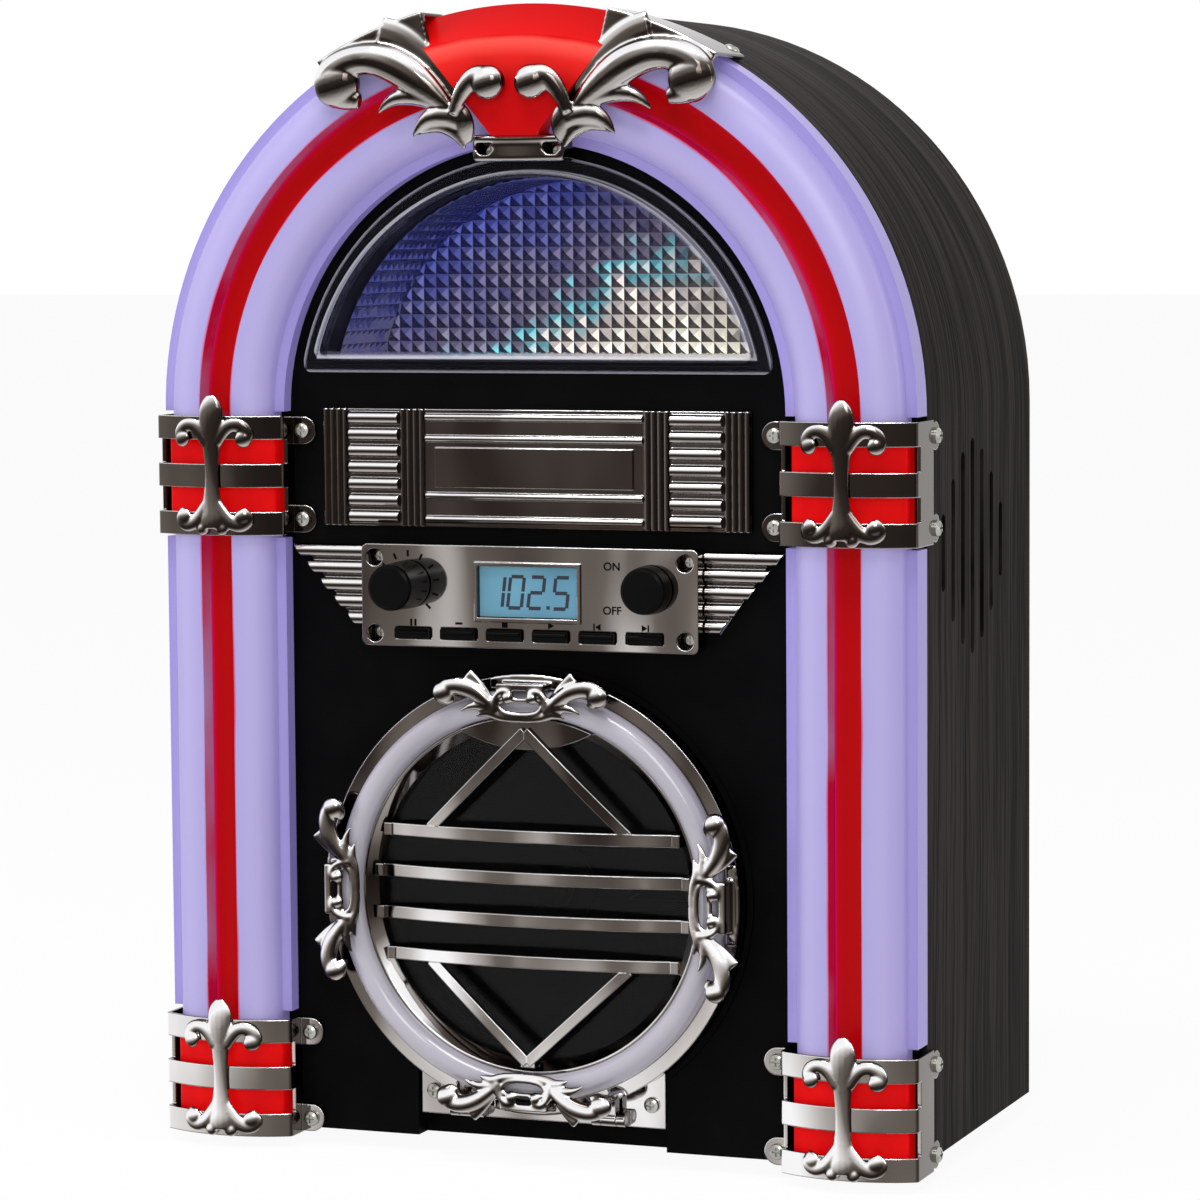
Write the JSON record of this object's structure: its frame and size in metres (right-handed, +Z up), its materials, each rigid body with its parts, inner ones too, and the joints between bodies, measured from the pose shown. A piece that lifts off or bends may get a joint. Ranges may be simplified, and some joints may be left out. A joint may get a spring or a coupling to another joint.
{
  "type": "disc jukebox",
  "caption": "Arched table-top disc player and radio with light tubes, chromed clips and crest, a round hinged disc door, knobs, push buttons and slotted sides.",
  "frame": {"origin": "middle of the footprint, on the surface that the rubber feet stand on", "axes": "+Z up, -Y towards the user who faces the disc door, +X to the user's right"},
  "size_m": [0.2784, 0.1574, 0.3929],
  "materials": {
    "black_vinyl": "black ash grain vinyl on bent board",
    "panel_black": "fine matt moulding",
    "tube_lavender": "translucent, lit from behind",
    "strip_red": "smooth translucent red",
    "lens_red": "translucent red, lit from behind",
    "bright_chrome": "chromed plastic",
    "door_chrome": "chromed plastic",
    "zinc_screw": "zinc plated",
    "clear_window": "clear moulding",
    "foil": "embossed foil",
    "milky": "milky translucent",
    "gloss_black": "glossy moulding",
    "display_blue": "display cover",
    "board_green": "circuit board",
    "lamp_board": "white lamp board",
    "rubber_black": "matt",
    "base_wood": "raw board",
    "steel": "pressed or turned",
    "paper_cone": "pressed pulp cone",
    "drive_plastic": "acetal"
  },
  "bodies": {
    "cabinet": {"arch_light_cover": "tube_lavender", "arch_red_strip": "strip_red", "base_board": "base_wood", "board_screws": "zinc_screw", "cabinet_shell": "black_vinyl", "clip_lenses": "lens_red", "column_light_covers": "tube_lavender", "column_red_strips": "strip_red", "control_bezel": "bright_chrome", "control_board": "board_green", "crest_lens": "lens_red", "crest_ornament": "bright_chrome", "disc_well": "panel_black", "display_glass": "display_blue", "dome_drum": "foil", "dome_window": "clear_window", "front_panel": "panel_black", "guide_rods": "steel", "hinge_pins": "steel", "hinge_plate": "door_chrome", "latch_housing": "drive_plastic", "light_boards": "lamp_board", "light_switch": "steel", "lily_ornaments": "bright_chrome", "lower_clips": "bright_chrome", "main_board": "board_green", "mech_chassis": "steel", "power_supply": "steel", "rear_cover": "black_vinyl", "rear_fittings": "gloss_black", "rubber_feet": "rubber_black", "sled_motor": "steel", "speaker_frames": "steel", "spindle_motor": "steel", "title_plate": "bright_chrome", "trim_screws": "zinc_screw", "upper_clips": "bright_chrome", "volume_pot": "steel", "wing_trims": "bright_chrome"},
    "door": {"door_ring": "door_chrome", "door_light_ring": "milky", "door_grille": "door_chrome", "door_bars": "door_chrome", "door_window": "clear_window", "door_scrolls": "door_chrome"},
    "volume_control": {"volume_knob": "gloss_black"},
    "light_control": {"light_knob": "gloss_black"},
    "spindle": {"disc_hub": "gloss_black"},
    "sled": {"pickup_sled": "panel_black"},
    "drive_gear": {"sled_drive_gear": "drive_plastic"},
    "motor_pinion": {"sled_motor_pinion": "drive_plastic"},
    "latch": {"latch_plunger": "drive_plastic"},
    "right_cone": {"right_speaker_cone": "paper_cone"},
    "left_cone": {"left_speaker_cone": "paper_cone"},
    "push_button_1": {"button_1": "gloss_black"},
    "push_button_2": {"button_2": "gloss_black"},
    "push_button_3": {"button_3": "gloss_black"},
    "push_button_4": {"button_4": "gloss_black"},
    "push_button_5": {"button_5": "gloss_black"},
    "push_button_6": {"button_6": "gloss_black"}
  },
  "joints": [
    {"name": "door_hinge", "type": "hinge", "parent": "cabinet", "child": "door", "pos_m": [0, -0.05575, 0.0165], "axis": [1, 0, 0], "range_deg": [0, 45]},
    {"name": "volume_turn", "type": "hinge", "parent": "cabinet", "child": "volume_control", "pos_m": [-0.0438, -0.06825, 0.1977], "axis": [0, 1, 0], "range_deg": [-150, 150]},
    {"name": "light_push", "type": "slide", "parent": "cabinet", "child": "light_control", "axis": [0, 1, 0], "range_m": [-0.004, 0]},
    {"name": "spindle_spin", "type": "hinge", "parent": "cabinet", "child": "spindle", "pos_m": [0, -0.03325, 0.0928], "axis": [0, 1, 0], "continuous": true},
    {"name": "sled_travel", "type": "slide", "parent": "cabinet", "child": "sled", "axis": [1, 0, 0], "range_m": [0, 0.033]},
    {"name": "drive_gear_turn", "type": "hinge", "parent": "cabinet", "child": "drive_gear", "pos_m": [0.044, -0.02525, 0.1216], "axis": [0, 1, 0], "range_deg": [-340, 0]},
    {"name": "motor_pinion_turn", "type": "hinge", "parent": "cabinet", "child": "motor_pinion", "pos_m": [0.044, -0.02525, 0.1368], "axis": [0, 1, 0], "range_deg": [0, 735]},
    {"name": "latch_push", "type": "slide", "parent": "cabinet", "child": "latch", "axis": [0, 1, 0], "range_m": [0, 0.0015], "stiffness_N_per_m": 300},
    {"name": "right_cone_move", "type": "slide", "parent": "cabinet", "child": "right_cone", "axis": [1, 0, 0], "range_m": [-0.001, 0.001], "stiffness_N_per_m": 1500},
    {"name": "left_cone_move", "type": "slide", "parent": "cabinet", "child": "left_cone", "axis": [-1, 0, 0], "range_m": [-0.001, 0.001], "stiffness_N_per_m": 1500},
    {"name": "button_1_push", "type": "slide", "parent": "cabinet", "child": "push_button_1", "axis": [0, 1, 0], "range_m": [0, 0.001], "stiffness_N_per_m": 250},
    {"name": "button_2_push", "type": "slide", "parent": "cabinet", "child": "push_button_2", "axis": [0, 1, 0], "range_m": [0, 0.001], "stiffness_N_per_m": 250},
    {"name": "button_3_push", "type": "slide", "parent": "cabinet", "child": "push_button_3", "axis": [0, 1, 0], "range_m": [0, 0.001], "stiffness_N_per_m": 250},
    {"name": "button_4_push", "type": "slide", "parent": "cabinet", "child": "push_button_4", "axis": [0, 1, 0], "range_m": [0, 0.001], "stiffness_N_per_m": 250},
    {"name": "button_5_push", "type": "slide", "parent": "cabinet", "child": "push_button_5", "axis": [0, 1, 0], "range_m": [0, 0.001], "stiffness_N_per_m": 250},
    {"name": "button_6_push", "type": "slide", "parent": "cabinet", "child": "push_button_6", "axis": [0, 1, 0], "range_m": [0, 0.001], "stiffness_N_per_m": 250}
  ],
  "couplings": [
    {"joint": "drive_gear_turn", "follows": "sled_travel", "rad_per_m": -178.57},
    {"joint": "motor_pinion_turn", "follows": "sled_travel", "rad_per_m": 386.9}
  ]
}
